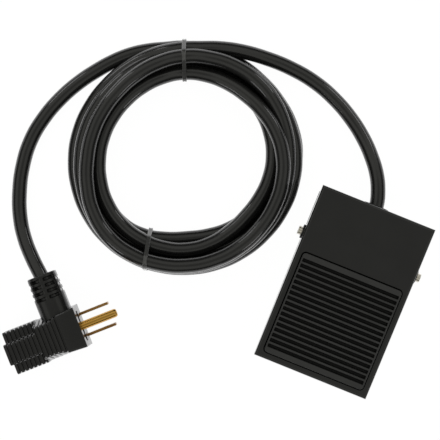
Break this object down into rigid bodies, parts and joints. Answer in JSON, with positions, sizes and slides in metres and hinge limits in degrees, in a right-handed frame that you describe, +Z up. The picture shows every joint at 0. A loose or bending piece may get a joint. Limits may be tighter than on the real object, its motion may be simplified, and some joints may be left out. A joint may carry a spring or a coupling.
{
  "type": "foot switch",
  "caption": "Foot switch with a hinged black steel pedal and ribbed rubber tread over a plated base, and a coiled mains cord ending in a piggyback plug.",
  "frame": {"origin": "on the surface it stands on, under the middle of the pedal's outline", "axes": "+Z up, -Y towards the toe end that is pressed, +Y towards the cord's outlet, X along the hinge"},
  "size_m": [0.2383, 0.2239, 0.0299],
  "materials": {
    "pedal_enamel": "satin black baked enamel",
    "tread_rubber": "matte ribbed rubber",
    "black_rubber": "matte black rubber",
    "plated_steel": "bright zinc plate",
    "zinc_plate": "zinc plate",
    "spring_steel": "drawn spring steel",
    "nickel": "nickel plate",
    "black_washer": "black oxide",
    "nylon": "natural nylon",
    "switch_phenolic": "moulded phenolic",
    "red_plastic": "moulded plastic",
    "brass": "stamped brass",
    "wire_black": "insulated conductor",
    "wire_white": "insulated conductor",
    "wire_green": "insulated conductor",
    "green_screw": "green plated screw",
    "cord_jacket": "round vinyl cord jacket with a soft sheen",
    "tie_plastic": "plastic coated wire tie",
    "plug_vinyl": "moulded vinyl",
    "brass_prongs": "rolled brass, a little tarnished"
  },
  "bodies": {
    "base": {"base_pan": "plated_steel", "nonskid_sheet": "black_rubber", "down_stop": "black_rubber", "spring_cups": "zinc_plate", "return_springs": "spring_steel", "pivot_screws": "nickel", "pivot_washers": "black_washer", "pivot_spacers": "nylon", "pivot_nuts": "zinc_plate", "switch_bracket": "zinc_plate", "switch_case": "switch_phenolic", "switch_cover": "switch_phenolic", "switch_screws": "nickel", "switch_nuts": "zinc_plate", "lever_pin": "spring_steel", "switch_terminals": "brass", "wire_receptacles": "red_plastic", "wire_line": "wire_black", "wire_load": "wire_white", "wire_ground": "wire_green", "ground_lug": "brass", "ground_screw": "green_screw", "cord_bushing": "black_rubber", "cord_switch_run": "cord_jacket", "cord_coil": "cord_jacket", "cord_plug_run": "cord_jacket", "coil_ties": "tie_plastic", "plug_body": "plug_vinyl", "plug_relief": "plug_vinyl", "plug_blades": "brass_prongs", "plug_ground_pin": "brass_prongs", "socket_contacts": "brass"},
    "pedal": {"pedal": "pedal_enamel", "tread_pad": "tread_rubber", "rest_buffer": "black_rubber", "striker": "zinc_plate", "spring_pegs": "zinc_plate"},
    "lever": {"switch_lever": "spring_steel"},
    "plunger": {"switch_plunger": "red_plastic"}
  },
  "joints": [
    {"name": "pedal_hinge", "type": "hinge", "parent": "base", "child": "pedal", "pos_m": [0, 0.0228, 0.02036], "axis": [1, 0, 0], "range_deg": [0, 2.6], "stiffness_Nm_per_rad": 4, "springref_deg": -5.73, "deforming": ["return_springs"]},
    {"name": "lever_hinge", "type": "hinge", "parent": "base", "child": "lever", "pos_m": [0, 0.0215, 0.02275], "axis": [1, 0, 0], "range_deg": [0, 2.85]},
    {"name": "plunger_slide", "type": "slide", "parent": "base", "child": "plunger", "axis": [0, 0, 1], "range_m": [-0.0007, 0]}
  ],
  "couplings": [
    {"joint": "lever_hinge", "follows": "pedal_hinge", "ratio": 1.0634},
    {"joint": "plunger_slide", "follows": "pedal_hinge", "m_per_rad": -0.014888}
  ]
}
